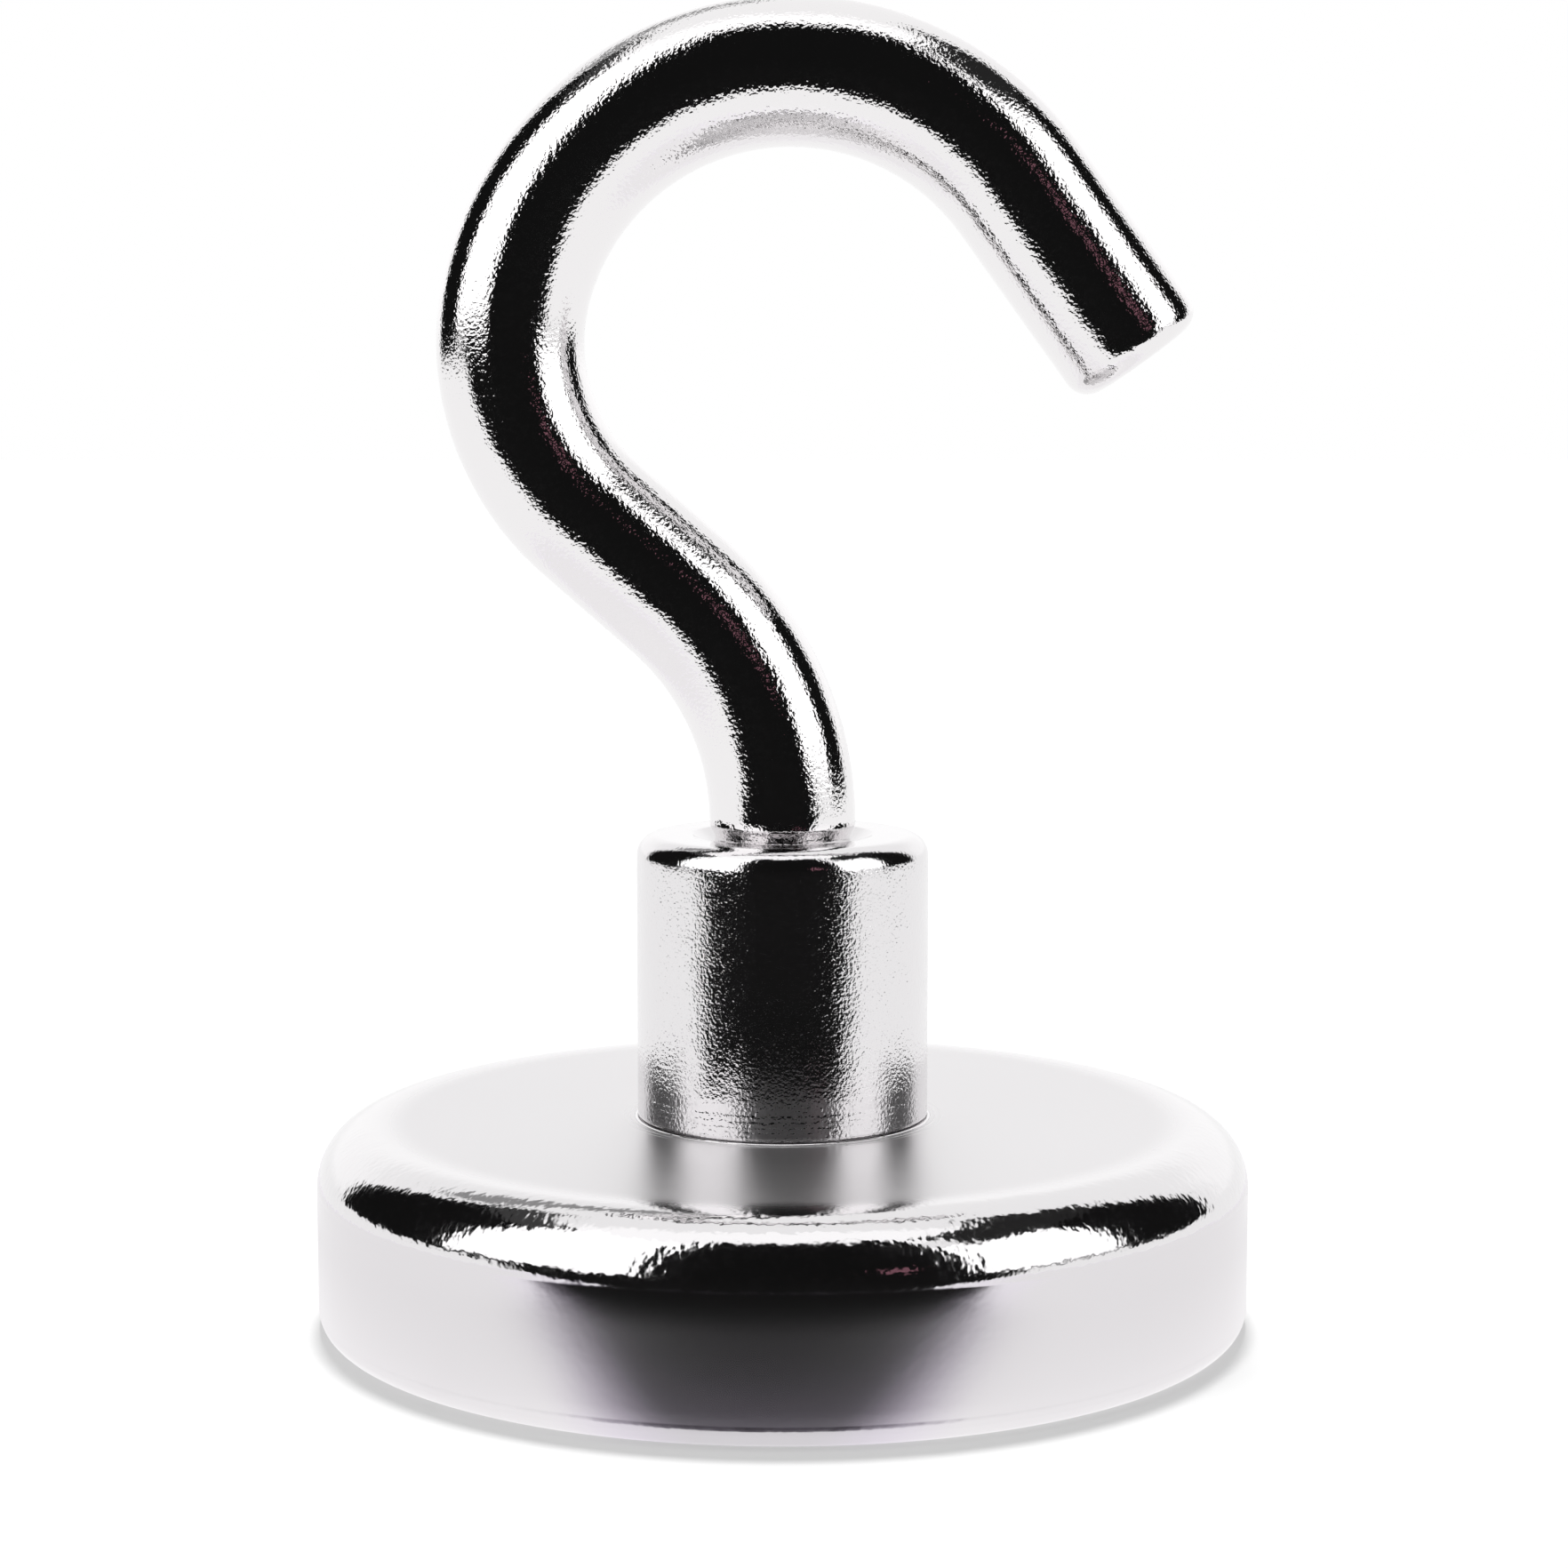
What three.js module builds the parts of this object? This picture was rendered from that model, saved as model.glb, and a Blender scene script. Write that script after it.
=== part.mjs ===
// Magnetic hook. A steel pot holds a disc magnet in adhesive, a threaded bush is riveted into the
// pot's roof, and a hook bent from round wire is screwed into the bush.
// Millimetres, +Z up. The origin is in the middle of the pot's open face, which grips the steel.
import * as THREE from 'three';

// Whole object: the crown of the hook comes to this height above the steel
const overallHeight = 45;

// Pot: a turned steel cup, open below
const potDiameter = 32;
const potHeight = 7;
const potWall = 2;
const potRoof = 2.2;
const potShoulderRadius = 2.1;
const potFootRadius = 0.75;
const potRimChamfer = 0.2;

// Magnet: a disc inside the pot, its face just above the pot's rim
const magnetMargin = 0.6;
const magnetRecess = 0.2;
const magnetChamfer = 0.3;

// Adhesive: a film above the magnet and a ring round it, one cured body
const adhesiveFilm = 0.2;
const adhesiveRecess = 0.35;

// Bush: a collar on the pot with a spigot through the roof, spread into a countersink below
const bushDiameter = 10;
const bushHeight = 9.8;
const bushEdgeRadius = 0.5;
const spigotWall = 1;
const rivetSpread = 0.7;
const mouthDepth = 0.5;

// Hook wire, in the order in which it is bent, from the bush upwards
const wireDiameter = 5;
const shankEndGap = 0.6;
const neckLength = 0.4;
const neckBendRadius = 10.3;
const neckBendAngle = THREE.MathUtils.degToRad(48.8);
const legLength = 4;
const sideBendRadius = 7.8;
const sideBendAngle = THREE.MathUtils.degToRad(65.6);
const crownFallAngle = THREE.MathUtils.degToRad(54);
const tipLength = 7;
const tipEdgeRadius = 0.8;
const shankChamfer = 0.5;

// Fits: between pieces that are pressed or bonded together, and round the screwed shank
const seatClearance = 0.05;
const threadClearance = 0.1;

// Fineness of the facets
const potSides = 80;
const bushSides = 48;
const wireSides = 32;
const arcSteps = 6;
const wireStep = 0.85;

// Sizes that follow from the ones above
const potRadius = potDiameter / 2;
const cavityRadius = potRadius - potWall;
const roofUnderside = potHeight - potRoof;
const magnetRadius = cavityRadius - magnetMargin;
const magnetTop = roofUnderside - adhesiveFilm;
const wireRadius = wireDiameter / 2;
const boreRadius = wireRadius + threadClearance;
const spigotRadius = boreRadius + spigotWall;
const bushRadius = bushDiameter / 2;
const bushTop = potHeight + bushHeight;
const neckStart = bushTop + neckLength;

function platedSteel(colour, roughness) {
  return new THREE.MeshStandardMaterial({ color: colour, roughness, metalness: 1 });
}

// Points of a quarter round between two directions, given as angles in the profile's plane
function quarterRound(centreRadius, centreHeight, radius, fromAngle, toAngle) {
  const points = [];
  for (let step = 0; step <= arcSteps; step += 1) {
    const angle = THREE.MathUtils.lerp(fromAngle, toAngle, step / arcSteps);
    const across = centreRadius + radius * Math.cos(angle);
    const up = centreHeight + radius * Math.sin(angle);
    points.push(new THREE.Vector2(across, up));
  }
  return points;
}

function at(radius, height) {
  return new THREE.Vector2(radius, height);
}

// Spins a profile of radii and heights round the upright axis
function turned(profile, sides) {
  return new THREE.LatheGeometry(profile, sides).rotateX(Math.PI / 2);
}

function closed(profile) {
  return [...profile, profile[0].clone()];
}

// The cup: foot and shoulder rounded, and a hole in its roof that widens below for the rivet head
function potShell() {
  const holeRadius = spigotRadius + seatClearance;
  const profile = closed([
    at(cavityRadius, potRimChamfer),
    at(cavityRadius + potRimChamfer, 0),
    ...quarterRound(potRadius - potFootRadius, potFootRadius, potFootRadius, -Math.PI / 2, 0),
    ...quarterRound(
      potRadius - potShoulderRadius,
      potHeight - potShoulderRadius,
      potShoulderRadius,
      0,
      Math.PI / 2,
    ),
    at(holeRadius, potHeight),
    at(holeRadius, roofUnderside + rivetSpread),
    at(holeRadius + rivetSpread, roofUnderside),
    at(cavityRadius, roofUnderside),
  ]);
  return new THREE.Mesh(turned(profile, potSides), platedSteel(0xe2dfe1, 0.12));
}

// The magnet: a plated disc with chamfered edges
function discMagnet() {
  const profile = [
    at(0, magnetRecess),
    at(magnetRadius - magnetChamfer, magnetRecess),
    at(magnetRadius, magnetRecess + magnetChamfer),
    at(magnetRadius, magnetTop - magnetChamfer),
    at(magnetRadius - magnetChamfer, magnetTop),
    at(0, magnetTop),
  ];
  return new THREE.Mesh(turned(profile, potSides), platedSteel(0xc9c8c6, 0.2));
}

// The adhesive: it fills the space over the magnet and the ring between the magnet and the wall
function adhesiveBond() {
  const ringInside = magnetRadius + seatClearance;
  const ringOutside = cavityRadius - seatClearance;
  const profile = [
    at(0, magnetTop),
    at(ringInside, magnetTop),
    at(ringInside, adhesiveRecess),
    at(ringOutside, adhesiveRecess),
    at(ringOutside, roofUnderside),
    at(0, roofUnderside),
  ];
  const material = new THREE.MeshStandardMaterial({ color: 0x2b2a2c, roughness: 0.5, metalness: 0 });
  return new THREE.Mesh(turned(profile, potSides), material);
}

// The bush: collar, spigot and the rivet head that holds it, round one bore with a countersunk mouth
function threadedBush() {
  const profile = closed([
    at(boreRadius, roofUnderside),
    at(spigotRadius + rivetSpread, roofUnderside),
    at(spigotRadius, roofUnderside + rivetSpread),
    at(spigotRadius, potHeight),
    at(bushRadius, potHeight),
    ...quarterRound(
      bushRadius - bushEdgeRadius,
      bushTop - bushEdgeRadius,
      bushEdgeRadius,
      0,
      Math.PI / 2,
    ),
    at(boreRadius + mouthDepth, bushTop),
    at(boreRadius, bushTop - mouthDepth),
  ]);
  return new THREE.Mesh(turned(profile, bushSides), platedSteel(0xdedbde, 0.14));
}

// A wire traced in its own plane as a bending machine makes it, from straight feeds and from
// bends of a radius and an angle, with left turns positive
class BentWire {
  constructor(start, heading) {
    this.outline = new THREE.Path().moveTo(start.x, start.y);
    this.place = start.clone();
    this.heading = heading;
  }

  direction(turn) {
    return new THREE.Vector2(Math.cos(this.heading + turn), Math.sin(this.heading + turn));
  }

  feed(length) {
    this.place.addScaledVector(this.direction(0), length);
    this.outline.lineTo(this.place.x, this.place.y);
    return this;
  }

  bend(radius, angle) {
    const inward = (Math.sign(angle) * Math.PI) / 2;
    const centre = this.place.clone().addScaledVector(this.direction(inward), radius);
    const from = this.heading + inward + Math.PI;
    this.outline.absarc(centre.x, centre.y, radius, from, from + angle, angle < 0);
    this.heading += angle;
    this.place.copy(centre).addScaledVector(this.direction(-inward), radius);
    return this;
  }
}

// The route of a bent wire, stood upright in the plane of X and Z. It is stepped at the stations, which
// are distances along the wire, so that rings of facets fall where the wire's ends need them.
class WireRoute extends THREE.Curve {
  constructor(outline, stations) {
    super();
    this.outline = outline;
    this.stations = stations;
    this.length = outline.getLength();
  }

  getUtoTmapping(share) {
    return share;
  }

  getPoint(share, target = new THREE.Vector3()) {
    const step = share * (this.stations.length - 1);
    const before = Math.min(Math.floor(step), this.stations.length - 2);
    const [from, to] = this.stations.slice(before, before + 2);
    const distance = THREE.MathUtils.lerp(from, to, step - before);
    const point = this.outline.getPoint(distance / this.length);
    return target.set(point.x, 0, point.y);
  }
}

// How far a wire climbs in a bend, from one heading to another that lies further to the right
function climbInBend(radius, fromHeading, toHeading) {
  return radius * (Math.cos(toHeading) - Math.cos(fromHeading));
}

// The crown's radius is what takes the wire from the side bend up to the overall height
function crownBendRadius() {
  const legHeading = Math.PI / 2 + neckBendAngle;
  const sideHeading = legHeading - sideBendAngle;
  const neckClimb = neckBendRadius * Math.sin(neckBendAngle);
  const legClimb = legLength * Math.sin(legHeading);
  const sideClimb = climbInBend(sideBendRadius, legHeading, sideHeading);
  const crownClimb = overallHeight - wireRadius - neckStart - neckClimb - legClimb - sideClimb;
  return crownClimb / climbInBend(1, sideHeading, 0);
}

// Distances along the wire: the chamfered shank end, even steps, and the rounded edge of the tip
function wireStations(length) {
  const roundStart = length - tipEdgeRadius;
  const evenLength = roundStart - shankChamfer;
  const evenSteps = Math.round(evenLength / wireStep);
  const stations = [0];
  for (let step = 0; step <= evenSteps; step += 1) {
    stations.push(shankChamfer + (evenLength * step) / evenSteps);
  }
  for (let step = 1; step <= arcSteps; step += 1) {
    const angle = ((Math.PI / 2) * step) / arcSteps;
    stations.push(roundStart + tipEdgeRadius * Math.sin(angle));
  }
  return stations;
}

function chamferedRadius(distance) {
  return wireRadius - shankChamfer + distance;
}

function roundedRadius(distance) {
  const fromCentre = tipEdgeRadius - distance;
  return wireRadius - tipEdgeRadius + Math.sqrt(tipEdgeRadius ** 2 - fromCentre ** 2);
}

// Takes the edge off one end of a rod: near the end, each point moves in to the radius that
// belongs to its distance from the end face
function dressEnd(rod, end, inwards, reach, radiusAt) {
  const position = rod.getAttribute('position');
  const point = new THREE.Vector3();
  for (let index = 0; index < position.count; index += 1) {
    point.fromBufferAttribute(position, index);
    const distance = Math.max(0, point.clone().sub(end).dot(inwards));
    if (point.distanceTo(end) < wireDiameter && distance < reach) {
      const axisPoint = end.clone().addScaledVector(inwards, distance);
      point.sub(axisPoint).multiplyScalar(radiusAt(distance) / wireRadius).add(axisPoint);
      position.setXYZ(index, point.x, point.y, point.z);
    }
  }
  rod.computeVertexNormals();
}

// The hook: straight shank, neck to the left, leg, side bend, crown and straight tip
function hook() {
  const crownTurn = Math.PI / 2 + neckBendAngle - sideBendAngle + crownFallAngle;
  const shankEnd = roofUnderside + shankEndGap;
  const wire = new BentWire(at(0, shankEnd), Math.PI / 2)
    .feed(neckStart - shankEnd)
    .bend(neckBendRadius, neckBendAngle)
    .feed(legLength)
    .bend(sideBendRadius, -sideBendAngle)
    .bend(crownBendRadius(), -crownTurn)
    .feed(tipLength);
  const stations = wireStations(wire.outline.getLength());
  const rod = new THREE.ExtrudeGeometry(new THREE.Shape().absarc(0, 0, wireRadius, 0, 2 * Math.PI), {
    extrudePath: new WireRoute(wire.outline, stations),
    steps: stations.length - 1,
    curveSegments: wireSides / 2,
    bevelEnabled: false,
  });
  const back = wire.direction(Math.PI);
  const tip = new THREE.Vector3(wire.place.x, 0, wire.place.y);
  dressEnd(rod, tip, new THREE.Vector3(back.x, 0, back.y), tipEdgeRadius, roundedRadius);
  const shankFoot = new THREE.Vector3(0, 0, shankEnd);
  dressEnd(rod, shankFoot, new THREE.Vector3(0, 0, 1), shankChamfer, chamferedRadius);
  return new THREE.Mesh(rod, platedSteel(0xe4e1e4, 0.1));
}

function named(mesh, name) {
  mesh.name = name;
  return mesh;
}

const magneticHook = new THREE.Group();
magneticHook.add(
  named(potShell(), 'pot_shell'),
  named(discMagnet(), 'disc_magnet'),
  named(adhesiveBond(), 'adhesive_bond'),
  named(threadedBush(), 'threaded_bush'),
  named(hook(), 'hook'),
);

export default magneticHook;
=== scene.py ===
# Magnetic hook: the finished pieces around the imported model.
# Metres, +Z up. The origin is in the middle of the pot's open face, which grips the steel.
import math

import bmesh
import bpy
from mathutils import Matrix, Vector


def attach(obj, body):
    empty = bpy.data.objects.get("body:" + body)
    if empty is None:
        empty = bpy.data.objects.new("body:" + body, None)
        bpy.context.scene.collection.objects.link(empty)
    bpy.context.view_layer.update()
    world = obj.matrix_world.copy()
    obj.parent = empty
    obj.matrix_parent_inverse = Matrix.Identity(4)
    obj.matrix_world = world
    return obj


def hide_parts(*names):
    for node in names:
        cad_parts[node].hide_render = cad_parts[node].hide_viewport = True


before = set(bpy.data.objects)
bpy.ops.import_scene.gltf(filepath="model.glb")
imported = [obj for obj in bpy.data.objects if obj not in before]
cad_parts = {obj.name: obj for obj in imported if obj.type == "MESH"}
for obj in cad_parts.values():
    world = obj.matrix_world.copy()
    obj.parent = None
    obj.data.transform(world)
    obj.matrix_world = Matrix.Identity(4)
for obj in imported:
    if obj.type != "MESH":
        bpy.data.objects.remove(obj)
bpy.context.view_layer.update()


# ---------------------------------------------------------------------------------------------
# Camera. It stands close in front of the hook and looks slightly down on the pot's roof. Its
# place, tilt and lens were fitted to the outlines of pot, bush and hook.
CAMERA_PLACE = (0.00005, -0.11424, 0.03122)
CAMERA_TILT = 83.644
CAMERA_LENS = 77.05
CAMERA_SENSOR = 36
CAMERA_CLIP = (0.005, 50)

camera_data = bpy.data.cameras.new("camera")
camera_data.sensor_width = CAMERA_SENSOR
camera_data.lens = CAMERA_LENS
camera_data.clip_start, camera_data.clip_end = CAMERA_CLIP
camera = bpy.data.objects.new("camera", camera_data)
camera.location = CAMERA_PLACE
camera.rotation_euler = (math.radians(CAMERA_TILT), 0, 0)
bpy.context.scene.collection.objects.link(camera)
bpy.context.scene.camera = camera
bpy.context.scene.view_settings.view_transform = "Standard"


# ---------------------------------------------------------------------------------------------
# Studio. A pale table in a white room, two tall softboxes left and right of the camera, and the
# dark of the room behind the camera and past the softboxes, which polished plating mirrors.
ROOM_LIGHT = 1.0
BACK_LIGHT = 1.1
CEILING_LIGHT = 1.2
SOFTBOX_LIGHT = 1.35
CORNER_LIGHT = 0.3
LEFT_TOP_LIGHT = 0.05
RIGHT_TOP_LIGHT = 0.02
DARK = 0.006
GLINT_COLOUR = (0.2, 0.09, 0.115, 1)

# Where the room's patches lie, in degrees: compass angle of the left and right end (0 towards
# the camera, 90 to the right), height of bottom and top, softness of the ends and of the edges
PATCH_FIELDS = ("From", "To", "Bottom", "Top", "Soft ends", "Soft edges")
REAR_CORNER = (-175, -138, 40, 50, 6, 4)
CEILING = (-100, 100, 58, 100, 20, 6)
LEFT_GAP = (-133, -87, -1, 52, 3, 3)
LEFT_GAP_TOP = (-138, -74, 50, 59, 6, 3)
RIGHT_GAP = (88, 124, -1, 62, 3, 3)
RIGHT_GAP_TOP = (58, 132, 47, 65, 6, 2.5)
TABLE_END = (-130, 118, -1, 4, 4, 1.5)
LEFT_SOFTBOX = (-88, -33, 3, 62, 1.5, 3)
RIGHT_SOFTBOX = (46, 88, 0.5, 46, 1.5, 3)
CAMERA_SIDE = (-34, 45.5, -7.5, 69, 2, 4)
PINK_GLINT = (24.5, 31, 13, 20, 2.5, 2.5)

# The brighter wall behind the object: its ends on both sides, its foot and its top
BACK_ENDS = (128, 140)
BACK_FOOT = (0, 6)
BACK_TOP = (32, 19)

# The dark floor in front of the table: its middle, half width and depth, and its soft borders
FLOOR_TURN = 5.5
FLOOR_WIDTH = 65.0
FLOOR_DEPTH = 31.5
FLOOR_ROUNDING = 1.7
FLOOR_BORDER = (1.08, 0.92)
FLOOR_TOP = (6.0, 4.0)


def wire_up(tree, kind, inputs=(), **settings):
    """Adds a node, sets its properties, and gives each input its value or its link."""
    made = tree.nodes.new(kind)
    for key, value in settings.items():
        setattr(made, key, value)
    for key, value in dict(inputs).items():
        if isinstance(value, bpy.types.NodeSocket):
            tree.links.new(value, made.inputs[key])
        else:
            made.inputs[key].default_value = value
    return made


def sums(tree, operation, *values):
    """One Math node, and its result."""
    fields = dict(enumerate(values))
    return wire_up(tree, "ShaderNodeMath", fields, operation=operation).outputs[0]


def soft_step(tree, value, low, high):
    """0 below low, 1 above high, and a smooth slope between; with low above high it falls."""
    fields = {0: value, 1: low, 2: high, 3: 0.0, 4: 1.0}
    if low > high:
        fields = {0: value, 1: high, 2: low, 3: 1.0, 4: 0.0}
    return wire_up(
        tree, "ShaderNodeMapRange", fields, interpolation_type="SMOOTHSTEP", clamp=True
    ).outputs[0]


def blend(tree, share, under, over):
    """The colour under, covered by the colour over where the share is 1."""
    fields = {0: share, 6: under, 7: over}
    return wire_up(tree, "ShaderNodeMix", fields, data_type="RGBA").outputs[2]


def compass_angle(tree, split):
    """Degrees to the right of the camera's side, for a direction or a place."""
    toward = sums(tree, "MULTIPLY", split[1], -1.0)
    turn_angle = sums(tree, "ARCTAN2", split[0], toward)
    return sums(tree, "MULTIPLY", turn_angle, math.degrees(1))


def grey(value):
    return (value, value, value, 1)


def new_group(name, inputs, outputs):
    """A shader node group with sockets for its values, and its two end nodes."""
    tree = bpy.data.node_groups.new(name, "ShaderNodeTree")
    kind = "NodeSocketFloat"
    for socket_name in inputs:
        tree.interface.new_socket(socket_name, in_out="INPUT", socket_type=kind)
    for socket_name in outputs:
        tree.interface.new_socket(socket_name, in_out="OUTPUT", socket_type=kind)
    given = tree.nodes.new("NodeGroupInput").outputs
    result = tree.nodes.new("NodeGroupOutput").inputs
    return tree, given, result


def patch_group():
    """A soft-edged patch of the studio: 1 inside a span of compass and height angles."""
    tree, given, result = new_group(
        "studio patch", ("Compass", "Height", *PATCH_FIELDS), ("Mask",)
    )
    mask = None
    for angle, low, high, soft in (
        ("Compass", "From", "To", "Soft ends"), ("Height", "Bottom", "Top", "Soft edges"),
    ):
        for edge, sign in ((low, 1), (high, -1)):
            past = sums(tree, "SUBTRACT", given[angle], given[edge])
            share = sums(tree, "DIVIDE", past, given[soft])
            side = soft_step(tree, share, -0.5 * sign, 0.5 * sign)
            mask = side if mask is None else sums(tree, "MULTIPLY", mask, side)
    tree.links.new(mask, result["Mask"])
    return tree


def front_floor(tree, compass, height):
    """1 on the dark floor in front of the table, wide at the horizon and rounded off below."""
    aside = sums(tree, "ABSOLUTE", sums(tree, "ADD", compass, FLOOR_TURN))
    aside = sums(tree, "POWER", sums(tree, "DIVIDE", aside, FLOOR_WIDTH), FLOOR_ROUNDING)
    below = sums(tree, "DIVIDE", sums(tree, "ABSOLUTE", height), FLOOR_DEPTH)
    below = sums(tree, "POWER", below, FLOOR_ROUNDING)
    inside = soft_step(tree, sums(tree, "ADD", aside, below), *FLOOR_BORDER)
    return sums(tree, "MULTIPLY", inside, soft_step(tree, height, *FLOOR_TOP))


def back_wall(tree, compass, height):
    """1 on the brighter wall behind the object."""
    wall = soft_step(tree, sums(tree, "ABSOLUTE", compass), *BACK_ENDS)
    wall = sums(tree, "MULTIPLY", wall, soft_step(tree, height, *BACK_FOOT))
    return sums(tree, "MULTIPLY", wall, soft_step(tree, height, *BACK_TOP))


def studio_world():
    """The room as the plating mirrors it, with plain white behind the object for the camera."""
    world = bpy.data.worlds.new("studio")
    world.use_nodes = True
    bpy.context.scene.world = world
    tree = world.node_tree
    tree.nodes.clear()
    patch = patch_group()
    direction = wire_up(tree, "ShaderNodeTexCoord").outputs["Generated"]
    split = wire_up(tree, "ShaderNodeSeparateXYZ", {0: direction}).outputs
    compass = compass_angle(tree, split)
    height = sums(tree, "MULTIPLY", sums(tree, "ARCSINE", split[2]), math.degrees(1))

    def lay(under, colour, span):
        """Covers what is under with a patch of one colour."""
        fields = {"Compass": compass, "Height": height, **dict(zip(PATCH_FIELDS, span))}
        mask = wire_up(tree, "ShaderNodeGroup", fields, node_tree=patch).outputs[0]
        return blend(tree, mask, under, colour)

    rear = back_wall(tree, compass, height)
    light = blend(tree, rear, grey(ROOM_LIGHT), grey(BACK_LIGHT))
    light = lay(light, grey(CORNER_LIGHT), REAR_CORNER)
    light = lay(light, grey(CEILING_LIGHT), CEILING)
    light = lay(light, grey(DARK), LEFT_GAP)
    light = lay(light, grey(LEFT_TOP_LIGHT), LEFT_GAP_TOP)
    light = lay(light, grey(DARK), RIGHT_GAP)
    light = blend(tree, front_floor(tree, compass, height), light, grey(DARK))
    light = lay(light, grey(DARK), TABLE_END)
    light = lay(light, grey(SOFTBOX_LIGHT), LEFT_SOFTBOX)
    light = lay(light, grey(SOFTBOX_LIGHT), RIGHT_SOFTBOX)
    light = lay(light, grey(RIGHT_TOP_LIGHT), RIGHT_GAP_TOP)
    light = lay(light, grey(DARK), CAMERA_SIDE)
    light = lay(light, GLINT_COLOUR, PINK_GLINT)

    studio = wire_up(tree, "ShaderNodeBackground", {"Color": light})
    paper = wire_up(tree, "ShaderNodeBackground", {"Color": grey(1.0)})
    seen = wire_up(tree, "ShaderNodeLightPath").outputs["Is Camera Ray"]
    fields = {0: seen, 1: studio.outputs[0], 2: paper.outputs[0]}
    shown = wire_up(tree, "ShaderNodeMixShader", fields)
    wire_up(tree, "ShaderNodeOutputWorld", {"Surface": shown.outputs[0]})


studio_world()


# ---------------------------------------------------------------------------------------------
# Table and lamp. White paper that takes the drop shadow of a lamp high behind the hook, and is
# clear when looked at from below. The plating mirrors only a painted glow on it close to the
# pot, and the room through the rest of it.
TABLE_SIZE = 4.0
TABLE_GREY = 0.42
TABLE_GLOW = 0.38

# Painted glow on the paper round the pot, which the plating mirrors on its foot all round:
# distances from the axis in metres
FOOT_LIGHT = 0.10
FOOT_LIGHT_REACH = (0.017, 0.033)
FOOT_LIGHT_FALL = 3.0

# The dark in front of the pot, with painted glow for lit paper at both sides and below the pot,
# in
# degrees and metres from the axis: where it is turned, how its half width grows from the axis,
# its border
FRONT_TURN = 3.3
FRONT_SPREAD = 1650.0
FRONT_AT_AXIS = -10.0
FRONT_BORDER = (-11.0, 9.0)
SIDE_LIGHT = 0.94
SIDE_LIGHT_END = (0.039, 0.034)
UNDER_POT = (0.0153, 0.0148)
FRONT_COLOUR = (1.0, 0.88, 1.12, 1)
SIDE_COLOUR = (1.0, 0.99, 1.0, 1)

# The narrow shade where the pot's foot touches the paper
CONTACT_BORDER = (0.0175, 0.0168)
CONTACT_SHADE = -0.3

# The lamp: its brightness, and its width and tilt in degrees
LAMP_LIGHT = 3.2
LAMP_WIDTH = 8
LAMP_TILT = -11


def mirrored_table(tree):
    """The table as the plating sees it: the room seen through it, dimmed, and painted glow."""
    place = wire_up(tree, "ShaderNodeTexCoord").outputs["Object"]
    split = wire_up(tree, "ShaderNodeSeparateXYZ", {0: place}).outputs
    reach = wire_up(tree, "ShaderNodeVectorMath", {0: place}, operation="LENGTH").outputs["Value"]
    turned = sums(tree, "ABSOLUTE", sums(tree, "ADD", compass_angle(tree, split), FRONT_TURN))
    border = sums(tree, "MULTIPLY_ADD", reach, FRONT_SPREAD, FRONT_AT_AXIS)
    past = sums(tree, "SUBTRACT", turned, border)
    beside = soft_step(tree, past, *FRONT_BORDER)
    beside = sums(tree, "MULTIPLY", beside, soft_step(tree, reach, *SIDE_LIGHT_END))
    beside = sums(tree, "MAXIMUM", beside, soft_step(tree, reach, *UNDER_POT))

    contact = sums(tree, "MULTIPLY", soft_step(tree, reach, *CONTACT_BORDER), CONTACT_SHADE)
    tint = sums(tree, "ADD", contact, 1.0)
    tint = sums(tree, "MULTIPLY", tint, sums(tree, "SUBTRACT", 1.0, beside))
    shaded = wire_up(tree, "ShaderNodeBsdfTransparent", {"Color": tint})

    # Painted glow on the paper by distance from the axis, seen only in the plating's reflections
    start, end = FOOT_LIGHT_REACH
    fields = {0: reach, 1: start, 2: end, 3: 1.0, 4: 0.0}
    near = wire_up(tree, "ShaderNodeMapRange", fields, clamp=True).outputs[0]
    light = sums(tree, "MULTIPLY", sums(tree, "POWER", near, FOOT_LIGHT_FALL), FOOT_LIGHT)
    light = sums(tree, "ADD", light, sums(tree, "MULTIPLY", beside, SIDE_LIGHT))
    colour = blend(tree, beside, FRONT_COLOUR, SIDE_COLOUR)
    thrown = wire_up(tree, "ShaderNodeEmission", {"Color": colour, "Strength": light})
    return wire_up(tree, "ShaderNodeAddShader", {0: shaded.outputs[0], 1: thrown.outputs[0]})


def table_top():
    """The table: paper for the camera, mirrored paper for the plating, clear from below."""
    bm = bmesh.new()
    bmesh.ops.create_grid(bm, x_segments=1, y_segments=1, size=TABLE_SIZE / 2)
    mesh = bpy.data.meshes.new("table")
    bm.to_mesh(mesh)
    bm.free()
    table = bpy.data.objects.new("table", mesh)
    bpy.context.scene.collection.objects.link(table)
    material = bpy.data.materials.new("table paper")
    material.use_nodes = True
    tree = material.node_tree
    tree.nodes.clear()
    lit = wire_up(tree, "ShaderNodeBsdfDiffuse", {"Color": grey(TABLE_GREY)})
    glow = wire_up(tree, "ShaderNodeEmission", {"Color": grey(1.0), "Strength": TABLE_GLOW})
    paper = wire_up(tree, "ShaderNodeAddShader", {0: lit.outputs[0], 1: glow.outputs[0]})
    clear = wire_up(tree, "ShaderNodeBsdfTransparent")
    mirrored = mirrored_table(tree)

    in_plating = wire_up(tree, "ShaderNodeLightPath").outputs["Is Glossy Ray"]
    below = wire_up(tree, "ShaderNodeNewGeometry").outputs["Backfacing"]
    fields = {0: in_plating, 1: paper.outputs[0], 2: mirrored.outputs[0]}
    above = wire_up(tree, "ShaderNodeMixShader", fields)
    fields = {0: below, 1: above.outputs[0], 2: clear.outputs[0]}
    shown = wire_up(tree, "ShaderNodeMixShader", fields)
    wire_up(tree, "ShaderNodeOutputMaterial", {"Surface": shown.outputs[0]})
    mesh.materials.append(material)


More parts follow.
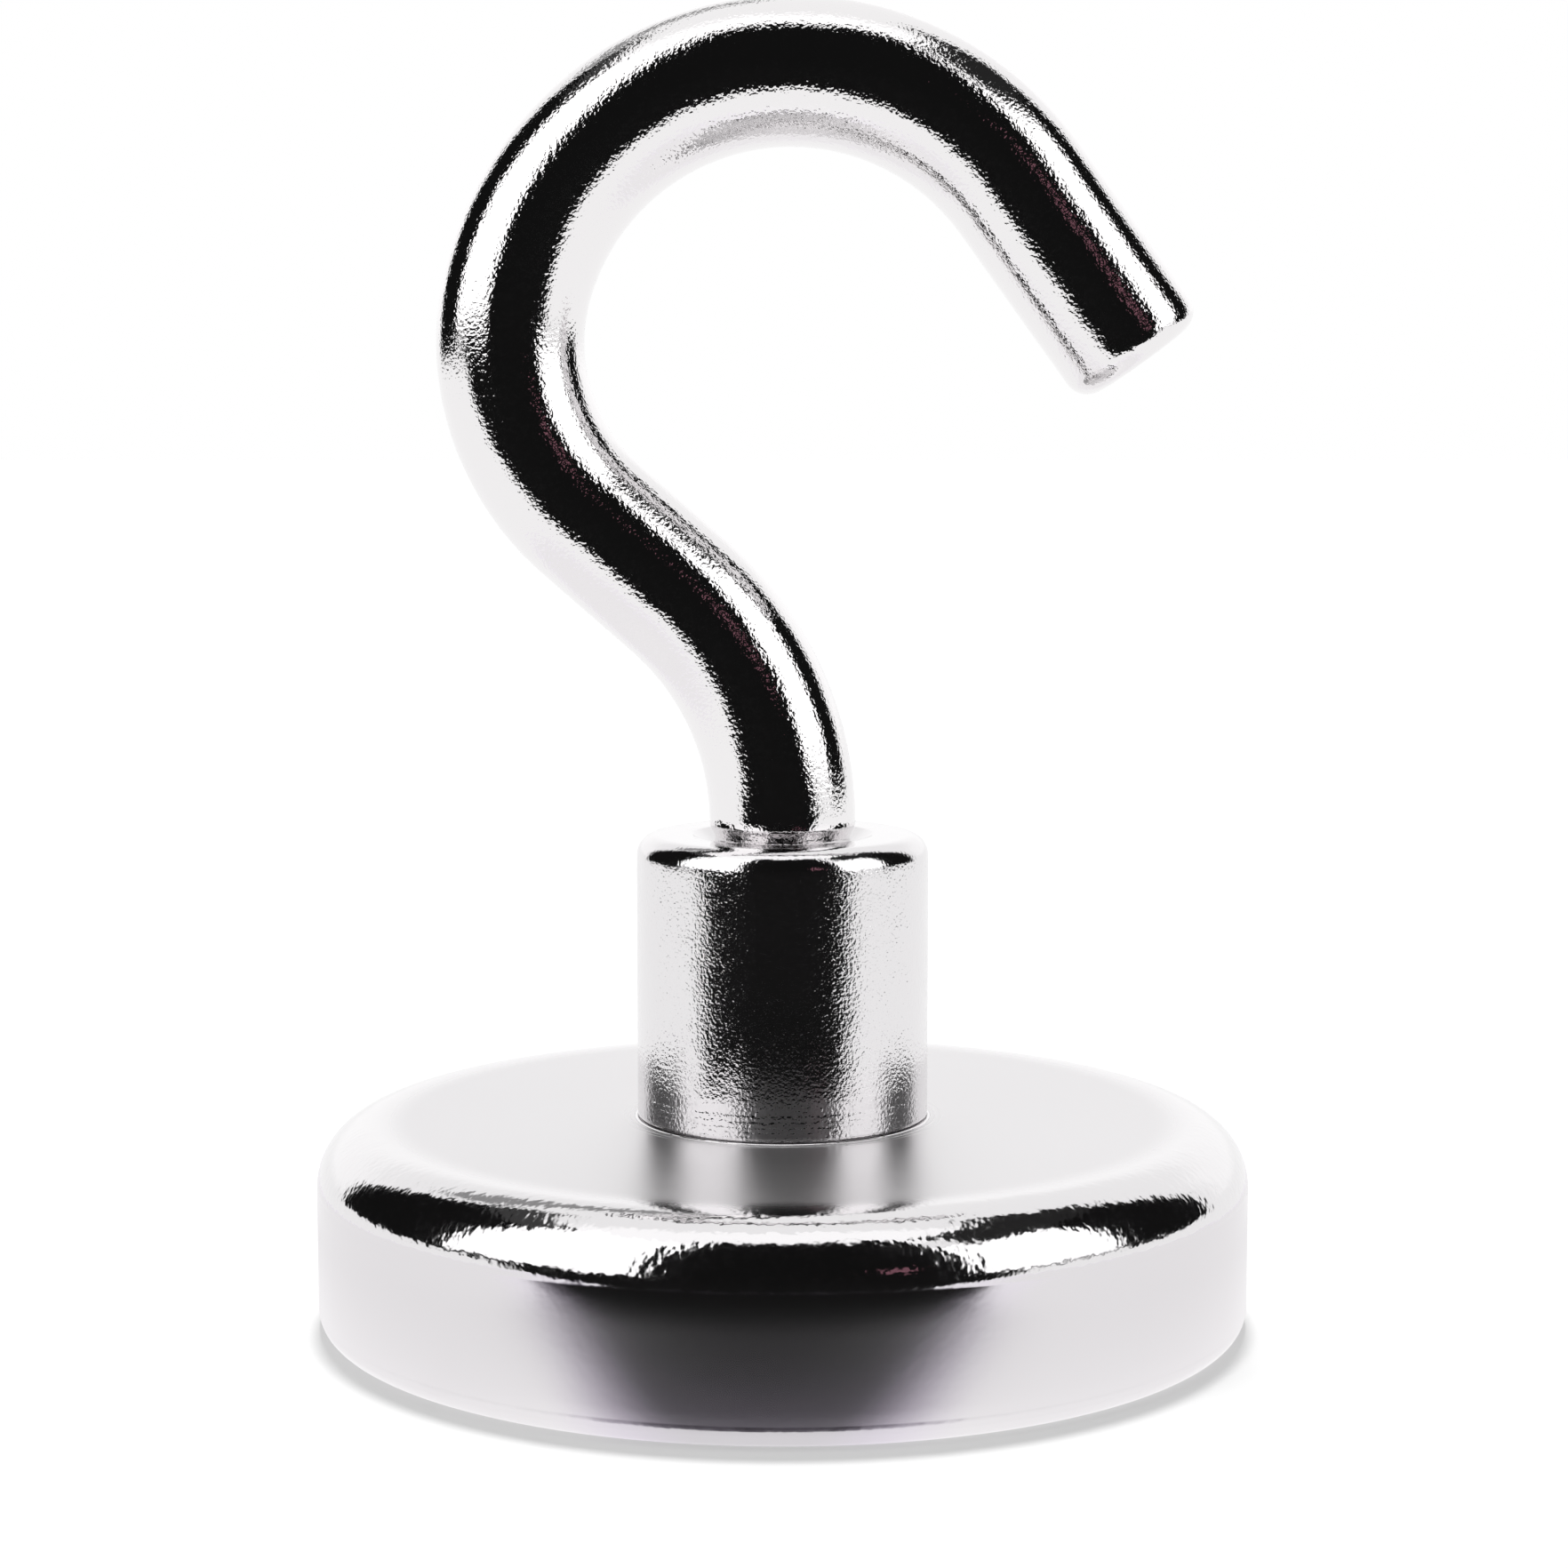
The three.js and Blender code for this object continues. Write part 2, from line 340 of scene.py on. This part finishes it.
def back_lamp():
    """A lamp high behind the hook, which throws the pot's narrow shadow to the camera."""
    lamp_data = bpy.data.lights.new("back lamp", "SUN")
    lamp_data.energy = LAMP_LIGHT
    lamp_data.angle = math.radians(LAMP_WIDTH)
    lamp = bpy.data.objects.new("back lamp", lamp_data)
    lamp.rotation_euler = (math.radians(LAMP_TILT), 0, 0)
    lamp.visible_glossy = False
    bpy.context.scene.collection.objects.link(lamp)


table_top()
back_lamp()


# ---------------------------------------------------------------------------------------------
# Pot shell. The real one is a steel cup, turned and then nickel plated: flat roof, rounded
# shoulder, straight wall, small foot. Its hole widens below for the bush's rivet head.
MM = 0.001
POT_RADIUS = 16.0
POT_HEIGHT = 7.0
POT_CAVITY_RADIUS = 14.0
POT_CEILING = 4.8
POT_SHOULDER = 2.1
POT_FOOT = 0.75
POT_RIM = 0.2
HOLE_RADIUS = 3.65
RIVET_SPREAD = 0.7
POT_STEPS = 256
LONGEST_FACE = 0.5
MERGE_DISTANCE = 1e-5

# Steps for a rounding of more than this radius, the largest first
ROUNDING_STEPS = ((1.0, 24), (0.3, 10), (0.0, 4))

# Fine raised rings on the roof: radius, half width, height. The plating bridges the bush's seam
# in the first, and the other two are marks of the tool that faced the roof round it.
SEAT_RING = (5.04, 0.08, 0.044)
TOOL_RINGS = ((5.28, 0.03, 0.010), (5.50, 0.03, 0.006))
RING_CREST_SHARE = 0.35
RING_ROUNDING_SHARE = 0.25

# Bright nickel: its colour, the scales of its swell and flecks, and where the flecks begin
PLATING_COLOUR = (0.800, 0.785, 0.795, 1)
SWELL_SCALE = 900
FLECK_SCALE_SHARE = 0.83
FLECK_WARP = 1.2
FLECK_BORDER = (0.52, 0.58)

# The pot's dimples, their height in millimetres and number to a metre, and the roughness of
# its bright faces and of the flecks in them
POT_GRAIN = 0.014
POT_DIMPLES = 3500
POT_ROUGHNESS = 0.07
POT_FLECKS = 0.10

# The satin roof: the roughness that it adds, the radii where it starts and is full, and the
# heights between which the bright rings rise out of it
ROOF_SATIN = 0.29
ROOF_BORDER = (14.9, 12.7)
RING_BORDER = (POT_HEIGHT + 0.004, POT_HEIGHT + 0.02)

# The satin wall: the roughness that it adds, and the heights where it starts and is full, from
# above and from below, first for the roughness and then for the loss of dimples
WALL_SATIN = 0.15
WALL_SATIN_BORDERS = ((5.2, 3.4), (0.4, 0.5))
WALL_SMOOTH_BORDERS = ((5.05, 4.8), (0.62, 0.8))
SATIN_DIMPLES_LOST = 0.92


def profile(bm, corners):
    """Draws a closed profile of (radius, height, rounding) corners and rounds them."""
    points = [bm.verts.new((radius, 0, height)) for radius, height, _ in corners]
    for before, after in zip(points, points[1:] + points[:1]):
        bm.edges.new((before, after))
    for point, (_, _, rounding) in zip(points, corners):
        if rounding:
            steps = next(count for least, count in ROUNDING_STEPS if rounding > least)
            bmesh.ops.bevel(
                bm, geom=[point], offset=rounding, offset_type="OFFSET", segments=steps,
                profile=0.5, affect="VERTICES", material=-1,
            )


def even_out(bm, longest):
    """Splits the long straight runs of a profile into steps no longer than asked."""
    for edge in bm.edges[:]:
        cuts = math.ceil(edge.calc_length() / longest) - 1
        if cuts > 0:
            bmesh.ops.subdivide_edges(bm, edges=[edge], cuts=cuts)


def turn(bm, steps):
    """Spins the profile once round the upright axis and closes it there."""
    bmesh.ops.spin(
        bm, geom=bm.verts[:] + bm.edges[:], cent=(0, 0, 0), axis=(0, 0, 1), dvec=(0, 0, 0),
        angle=2 * math.pi, steps=steps, use_merge=True,
    )


def piece(bm, name, body, node, material):
    """Makes the mesh an object in metres and hands it to its body and CAD node."""
    bmesh.ops.remove_doubles(bm, verts=bm.verts[:], dist=MERGE_DISTANCE)
    bmesh.ops.recalc_face_normals(bm, faces=bm.faces[:])
    bmesh.ops.scale(bm, vec=(MM, MM, MM), verts=bm.verts[:])
    for face in bm.faces:
        face.smooth = True
    mesh = bpy.data.meshes.new(name)
    bm.to_mesh(mesh)
    bm.free()
    made = bpy.data.objects.new(name, mesh)
    bpy.context.scene.collection.objects.link(made)
    mesh.materials.append(material)
    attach(made, body)
    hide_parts(node)


def grain_group():
    """Orange peel of bright plating: fine dimples over a slow swell, as a height, and the small
    flecks where the polish broke, as a mask."""
    tree, given, result = new_group("plating grain", ("Dimples",), ("Height", "Flecks"))
    place = wire_up(tree, "ShaderNodeTexCoord").outputs["Object"]

    def noise(scale, detail, warp=0.0):
        fields = {"Vector": place, "Scale": scale, "Detail": detail, "Distortion": warp}
        return wire_up(tree, "ShaderNodeTexNoise", fields).outputs[0]

    peel = sums(tree, "ADD", noise(given["Dimples"], 1.0), noise(SWELL_SCALE, 0.0))
    tree.links.new(peel, result["Height"])
    broken = noise(sums(tree, "MULTIPLY", given["Dimples"], FLECK_SCALE_SHARE), 1.0, FLECK_WARP)
    tree.links.new(soft_step(tree, broken, *FLECK_BORDER), result["Flecks"])
    return tree


def turned_place_group():
    """Where a point lies on a turned piece: distance from the axis and height, in millimetres."""
    tree, _, result = new_group("place on a turned piece", (), ("Radius", "Height"))
    place = wire_up(tree, "ShaderNodeTexCoord").outputs["Object"]
    split = wire_up(tree, "ShaderNodeSeparateXYZ", {0: place}).outputs
    flat = wire_up(tree, "ShaderNodeCombineXYZ", {0: split[0], 1: split[1]}).outputs[0]
    radius = wire_up(tree, "ShaderNodeVectorMath", {0: flat}, operation="LENGTH").outputs["Value"]
    tree.links.new(sums(tree, "DIVIDE", radius, MM), result["Radius"])
    tree.links.new(sums(tree, "DIVIDE", split[2], MM), result["Height"])
    return tree


GRAIN_GROUP = grain_group()
TURNED_PLACE_GROUP = turned_place_group()


def plating(name, colour, grain, dimples, roughness, flecks, coarse=1.0):
    """Bright nickel on steel. grain is the height of its dimples in millimetres and dimples their
    number to a metre, roughness and flecks the roughness between and in its flecks, coarse how
    much of dimples and flecks is left. roughness and coarse may be functions that make a mask
    from the point's radius and height on a turned piece."""
    material = bpy.data.materials.new(name)
    material.use_nodes = True
    tree = material.node_tree
    shader = tree.nodes["Principled BSDF"]
    shader.inputs["Metallic"].default_value = 1
    shader.inputs["Base Color"].default_value = colour
    spot = wire_up(tree, "ShaderNodeGroup", node_tree=TURNED_PLACE_GROUP).outputs
    roughness, coarse = (
        field(tree, spot["Radius"], spot["Height"]) if callable(field) else field
        for field in (roughness, coarse)
    )
    fields = {"Dimples": dimples}
    peel = wire_up(tree, "ShaderNodeGroup", fields, node_tree=GRAIN_GROUP).outputs
    fleck = sums(tree, "MULTIPLY", peel["Flecks"], coarse)
    fields = {0: fleck, 3: roughness, 4: flecks}
    rough = wire_up(tree, "ShaderNodeMapRange", fields).outputs[0]
    tree.links.new(sums(tree, "MAXIMUM", rough, roughness), shader.inputs["Roughness"])
    height = sums(tree, "MULTIPLY", peel["Height"], coarse)
    bump = wire_up(tree, "ShaderNodeBump", {"Height": height, "Distance": grain * MM})
    tree.links.new(bump.outputs["Normal"], shader.inputs["Normal"])
    return material


def pot_roof(tree, radius, height):
    """1 on the satin roof and inside the pot, 0 on the shoulder and on the raised seat ring."""
    flat = sums(tree, "SUBTRACT", 1.0, soft_step(tree, height, *RING_BORDER))
    return sums(tree, "MULTIPLY", soft_step(tree, radius, *ROOF_BORDER), flat)


def pot_wall(tree, height, borders):
    """1 on the straight wall, fading out above to the shoulder and below to the foot."""
    above, below = (soft_step(tree, height, *border) for border in borders)
    return sums(tree, "MULTIPLY", above, below)


def pot_roughness(tree, radius, height):
    """Roughness of the pot: bright shoulder and foot, satin wall, duller roof."""
    roof = sums(tree, "MULTIPLY", pot_roof(tree, radius, height), ROOF_SATIN)
    wall = sums(tree, "MULTIPLY", pot_wall(tree, height, WALL_SATIN_BORDERS), WALL_SATIN)
    return sums(tree, "ADD", sums(tree, "MAXIMUM", roof, wall), POT_ROUGHNESS)


def pot_coarse(tree, radius, height):
    """How much of the dimples is left: all on the shoulder, hardly any on the satin faces."""
    wall = pot_wall(tree, height, WALL_SMOOTH_BORDERS)
    satin = sums(tree, "MAXIMUM", pot_roof(tree, radius, height), wall)
    return sums(tree, "MULTIPLY_ADD", satin, -SATIN_DIMPLES_LOST, 1.0)


def ridge(radius, half_width, height):
    """Corners of a fine raised ring on the roof, from the outside in."""
    crest = half_width * RING_CREST_SHARE
    soft = height * RING_ROUNDING_SHARE
    return [
        (radius + half_width, POT_HEIGHT, soft),
        (radius + crest, POT_HEIGHT + height, soft),
        (radius - crest, POT_HEIGHT + height, soft),
        (radius - half_width, POT_HEIGHT, soft),
    ]


def pot_shell():
    bm = bmesh.new()
    profile(bm, [
        (POT_CAVITY_RADIUS, POT_RIM, 0),
        (POT_CAVITY_RADIUS + POT_RIM, 0, 0),
        (POT_RADIUS, 0, POT_FOOT),
        (POT_RADIUS, POT_HEIGHT, POT_SHOULDER),
        *ridge(*TOOL_RINGS[1]),
        *ridge(*TOOL_RINGS[0]),
        *ridge(*SEAT_RING),
        (HOLE_RADIUS, POT_HEIGHT, 0),
        (HOLE_RADIUS, POT_CEILING + RIVET_SPREAD, 0),
        (HOLE_RADIUS + RIVET_SPREAD, POT_CEILING, 0),
        (POT_CAVITY_RADIUS, POT_CEILING, 0),
    ])
    even_out(bm, LONGEST_FACE)
    turn(bm, POT_STEPS)
    material = plating(
        "pot plating", PLATING_COLOUR, grain=POT_GRAIN, dimples=POT_DIMPLES,
        roughness=pot_roughness, flecks=POT_FLECKS, coarse=pot_coarse,
    )
    piece(bm, "pot_shell_turned", "magnet_base", "pot_shell", material)


pot_shell()


# ---------------------------------------------------------------------------------------------
# Magnet. The real one is a pressed and ground disc with a dull nickel plating, dropped into
# the pot's adhesive so that its face sits just inside the rim.
MAGNET_RADIUS = 13.4
MAGNET_FACE = 0.2
MAGNET_TOP = 4.6
MAGNET_CHAMFER = 0.3
MAGNET_LONGEST_FACE = 0.6
MAGNET_COLOUR = (0.66, 0.65, 0.64, 1)
MAGNET_GRAIN = 0.004
MAGNET_DIMPLES = 3200
MAGNET_ROUGHNESS = 0.20
MAGNET_FLECKS = 0.30
ON_AXIS = 1e-6


def turn_disc(bm, corners):
    """Turns a profile that touches the axis, without its edge along the axis."""
    profile(bm, corners)
    axis_edge = [e for e in bm.edges if all(abs(v.co.x) < ON_AXIS for v in e.verts)]
    bmesh.ops.delete(bm, geom=axis_edge, context="EDGES")
    even_out(bm, MAGNET_LONGEST_FACE)
    turn(bm, POT_STEPS)


def disc_magnet():
    bm = bmesh.new()
    turn_disc(bm, [
        (0, MAGNET_FACE, 0),
        (MAGNET_RADIUS, MAGNET_FACE, MAGNET_CHAMFER),
        (MAGNET_RADIUS, MAGNET_TOP, MAGNET_CHAMFER),
        (0, MAGNET_TOP, 0),
    ])
    material = plating(
        "magnet plating", MAGNET_COLOUR, grain=MAGNET_GRAIN, dimples=MAGNET_DIMPLES,
        roughness=MAGNET_ROUGHNESS, flecks=MAGNET_FLECKS,
    )
    piece(bm, "disc_magnet_ground", "magnet_base", "disc_magnet", material)


disc_magnet()


# ---------------------------------------------------------------------------------------------
# Adhesive. The real one is dark epoxy, poured before the magnet went in: a film over the magnet
# and a ring round it, level just below the rim.
ADHESIVE_INSIDE = 13.45
ADHESIVE_OUTSIDE = 13.95
ADHESIVE_LEVEL = 0.35
ADHESIVE_EDGE = 0.05
EPOXY_DARK = (0.012, 0.011, 0.012, 1)
EPOXY_PALE = (0.030, 0.028, 0.030, 1)
EPOXY_CLOUDS = 700
EPOXY_CLOUD_DETAIL = 3
EPOXY_ROUGHNESS_SPAN = (0.0, 2.2)
EPOXY_RIPPLE = 0.02


def epoxy():
    """Cured resin, faintly clouded and rippled where it flowed."""
    material = bpy.data.materials.new("dark epoxy")
    material.use_nodes = True
    tree = material.node_tree
    shader = tree.nodes["Principled BSDF"]
    place = wire_up(tree, "ShaderNodeTexCoord").outputs["Object"]
    fields = {"Vector": place, "Scale": EPOXY_CLOUDS, "Detail": EPOXY_CLOUD_DETAIL}
    flow = wire_up(tree, "ShaderNodeTexNoise", fields).outputs[0]
    tree.links.new(blend(tree, flow, EPOXY_DARK, EPOXY_PALE), shader.inputs["Base Color"])
    tree.links.new(soft_step(tree, flow, *EPOXY_ROUGHNESS_SPAN), shader.inputs["Roughness"])
    bump = wire_up(tree, "ShaderNodeBump", {"Height": flow, "Distance": EPOXY_RIPPLE * MM})
    tree.links.new(bump.outputs["Normal"], shader.inputs["Normal"])
    return material


def adhesive_bond():
    bm = bmesh.new()
    turn_disc(bm, [
        (0, MAGNET_TOP, 0),
        (ADHESIVE_INSIDE, MAGNET_TOP, 0),
        (ADHESIVE_INSIDE, ADHESIVE_LEVEL, ADHESIVE_EDGE),
        (ADHESIVE_OUTSIDE, ADHESIVE_LEVEL, ADHESIVE_EDGE),
        (ADHESIVE_OUTSIDE, POT_CEILING, 0),
        (0, POT_CEILING, 0),
    ])
    piece(bm, "adhesive_poured", "magnet_base", "adhesive_bond", epoxy())


adhesive_bond()


# ---------------------------------------------------------------------------------------------
# Bush. The real one is a turned steel collar with a tapped bore. Its spigot goes through the
# pot's roof and is spread into the countersink below, and the plating runs over the seam.
BUSH_RADIUS = 5.0
BUSH_TOP = 16.8
BUSH_EDGE = 0.72
BUSH_FOOT_CHAMFER = 0.12
TURNED_LINES = (7.26, 7.42, 7.58, 7.77, 7.98)
TURNED_LINE_WIDTH = 0.08
TURNED_LINE_DEPTH = 0.006
BORE_RADIUS = 2.6
MOUTH_DEPTH = 0.5
MOUTH_EDGE = 0.08
SPIGOT_RADIUS = 3.6
SPIGOT_EDGE = 0.06
BUSH_STEPS = 192
BUSH_GRAIN = 0.016
BUSH_DIMPLES = 9200
BUSH_ROUGHNESS = 0.08
BUSH_FLECKS = 0.12

# The rounded top edge took more of the polishing: between these heights the dimples fade
EDGE_POLISH_BORDER = (15.9, 16.3)
EDGE_DIMPLES_LOST = 0.62


def turned_lines():
    """Corners of the fine lines that the tool left just above the seat."""
    corners = []
    for height in TURNED_LINES:
        corners.append((BUSH_RADIUS, height - TURNED_LINE_WIDTH / 2, 0))
        corners.append((BUSH_RADIUS - TURNED_LINE_DEPTH, height, 0))
        corners.append((BUSH_RADIUS, height + TURNED_LINE_WIDTH / 2, 0))
    return corners


def bush_coarse(tree, radius, height):
    """How much of the dimples is left: all on the side, less on the rounded top edge."""
    polished = soft_step(tree, height, *EDGE_POLISH_BORDER)
    return sums(tree, "MULTIPLY_ADD", polished, -EDGE_DIMPLES_LOST, 1.0)


def threaded_bush():
    bm = bmesh.new()
    profile(bm, [
        (BORE_RADIUS, POT_CEILING, SPIGOT_EDGE),
        (SPIGOT_RADIUS + RIVET_SPREAD, POT_CEILING, SPIGOT_EDGE),
        (SPIGOT_RADIUS, POT_CEILING + RIVET_SPREAD, 0),
        (SPIGOT_RADIUS, POT_HEIGHT, 0),
        (BUSH_RADIUS - BUSH_FOOT_CHAMFER, POT_HEIGHT, 0),
        (BUSH_RADIUS, POT_HEIGHT + BUSH_FOOT_CHAMFER, 0),
        *turned_lines(),
        (BUSH_RADIUS, BUSH_TOP, BUSH_EDGE),
        (BORE_RADIUS + MOUTH_DEPTH, BUSH_TOP, MOUTH_EDGE),
        (BORE_RADIUS, BUSH_TOP - MOUTH_DEPTH, MOUTH_EDGE),
    ])
    even_out(bm, LONGEST_FACE)
    turn(bm, BUSH_STEPS)
    material = plating(
        "bush plating", PLATING_COLOUR, grain=BUSH_GRAIN, dimples=BUSH_DIMPLES,
        roughness=BUSH_ROUGHNESS, flecks=BUSH_FLECKS, coarse=bush_coarse,
    )
    piece(bm, "threaded_bush_turned", "magnet_base", "threaded_bush", material)


threaded_bush()


# ---------------------------------------------------------------------------------------------
# Hook. The real one is round steel wire with a rolled thread, bent cold on a former, tumbled to
# take the edge off its cut end, bright plated and screwed into the bush.
WIRE_RADIUS = 2.5
SHANK_END = 5.4
SHANK_CHAMFER = 0.5
THREAD_PITCH = 0.8
THREAD_DEPTH = 0.43
THREAD_FLANK = (0.2, 0.9)
THREAD_END = 15.9
THREAD_FADE = 0.7
NECK_FOOT = 16.7
NECK_FOOT_RADIUS = 2.3
NECK_CONE_TOP = 17.15
NECK_START = 17.2
NECK_RADIUS = 10.3
NECK_TURN = -48.8
LEG_LENGTH = 4.0
SIDE_RADIUS = 7.8
SIDE_TURN = 65.6
CROWN_RADIUS = 9.5533
CROWN_TURN = 127.2
TIP_LENGTH = 7.0
TIP_EDGE = 0.8
TIP_EDGE_STEPS = 12
WIRE_STEPS = 72
SHANK_STEPS = 148
STRAIGHT_STEPS = 6
BEND_STEP = 2.2
HOOK_COLOUR = (0.865, 0.850, 0.855, 1)
HOOK_GRAIN = 0.014
HOOK_DIMPLES = 8000
HOOK_ROUGHNESS = 0.04
HOOK_FLECKS = 0.08


def ring_of(geometry):
    """The edges among what an operator gave back."""
    return [e for e in geometry if isinstance(e, bmesh.types.BMEdge)]


def feed(bm, ring, place, heading, length, steps):
    """Pushes the wire's open end straight on, and gives its new ring and place."""
    move = Vector((math.sin(heading), 0, math.cos(heading))) * (length / steps)
    for _ in range(steps):
        made = bmesh.ops.extrude_edge_only(bm, edges=ring)["geom"]
        fresh = {v for v in made if isinstance(v, bmesh.types.BMVert)}
        ring = [e for e in ring_of(made) if set(e.verts) <= fresh]
        bmesh.ops.translate(bm, verts=list(fresh), vec=move)
        place = place + move
    return ring, place


def bend(bm, ring, place, heading, radius, degrees):
    """Bends the wire on: a positive angle turns it to the right, seen from the front."""
    angle = math.radians(degrees)
    side = Vector((math.cos(heading), 0, -math.sin(heading))) * math.copysign(radius, angle)
    centre = place + side
    ends = list({v for e in ring for v in e.verts})
    made = bmesh.ops.spin(
        bm, geom=ends + ring, cent=centre, axis=(0, 1, 0), dvec=(0, 0, 0), angle=angle,
        steps=math.ceil(abs(degrees) / BEND_STEP), use_merge=False, use_duplicate=False,
    )["geom_last"]
    place = centre + Matrix.Rotation(angle, 3, "Y") @ (place - centre)
    return ring_of(made), place, heading + angle


def between(value, low, high):
    """How far a value has gone from low to high, kept between 0 and 1."""
    return min(max((value - low) / (high - low), 0.0), 1.0)


def shank_radius(height, angle):
    """The shank: chamfered end, rolled right-hand thread that runs out below a short cone."""
    phase = (height / THREAD_PITCH - angle / (2 * math.pi)) % 1.0
    crest = between(abs(2 * phase - 1), *THREAD_FLANK)
    fade = between(height, THREAD_END + THREAD_FADE, THREAD_END)
    threaded = WIRE_RADIUS - THREAD_DEPTH * (1 - crest) * fade
    end = WIRE_RADIUS - SHANK_CHAMFER + (height - SHANK_END)
    cone = between(height, NECK_FOOT, NECK_CONE_TOP)
    run_out = between(height, THREAD_END, NECK_FOOT)
    drawn_in = run_out if cone == 0 else 1 - cone
    neck = WIRE_RADIUS - (WIRE_RADIUS - NECK_FOOT_RADIUS) * drawn_in
    return min(threaded, end, neck, WIRE_RADIUS)


def hook():
    bm = bmesh.new()
    place, heading = Vector((0, 0, SHANK_END)), 0.0
    bmesh.ops.create_circle(
        bm, cap_ends=True, segments=WIRE_STEPS, radius=WIRE_RADIUS,
        matrix=Matrix.Translation(place),
    )
    ring, place = feed(bm, bm.edges[:], place, heading, NECK_START - SHANK_END, SHANK_STEPS)
    for point in bm.verts:
        share = shank_radius(point.co.z, math.atan2(point.co.y, point.co.x)) / WIRE_RADIUS
        point.co.x *= share
        point.co.y *= share
    ring, place, heading = bend(bm, ring, place, heading, NECK_RADIUS, NECK_TURN)
    ring, place = feed(bm, ring, place, heading, LEG_LENGTH, STRAIGHT_STEPS)
    ring, place, heading = bend(bm, ring, place, heading, SIDE_RADIUS, SIDE_TURN)
    ring, place, heading = bend(bm, ring, place, heading, CROWN_RADIUS, CROWN_TURN)
    ring, place = feed(bm, ring, place, heading, TIP_LENGTH, STRAIGHT_STEPS)
    bmesh.ops.edgeloop_fill(bm, edges=ring)
    bmesh.ops.bevel(
        bm, geom=ring, offset=TIP_EDGE, offset_type="OFFSET", segments=TIP_EDGE_STEPS,
        profile=0.5, affect="EDGES", material=-1,
    )
    material = plating(
        "hook plating", HOOK_COLOUR, grain=HOOK_GRAIN, dimples=HOOK_DIMPLES,
        roughness=HOOK_ROUGHNESS, flecks=HOOK_FLECKS,
    )
    piece(bm, "hook_bent_wire", "screw_hook", "hook", material)


hook()
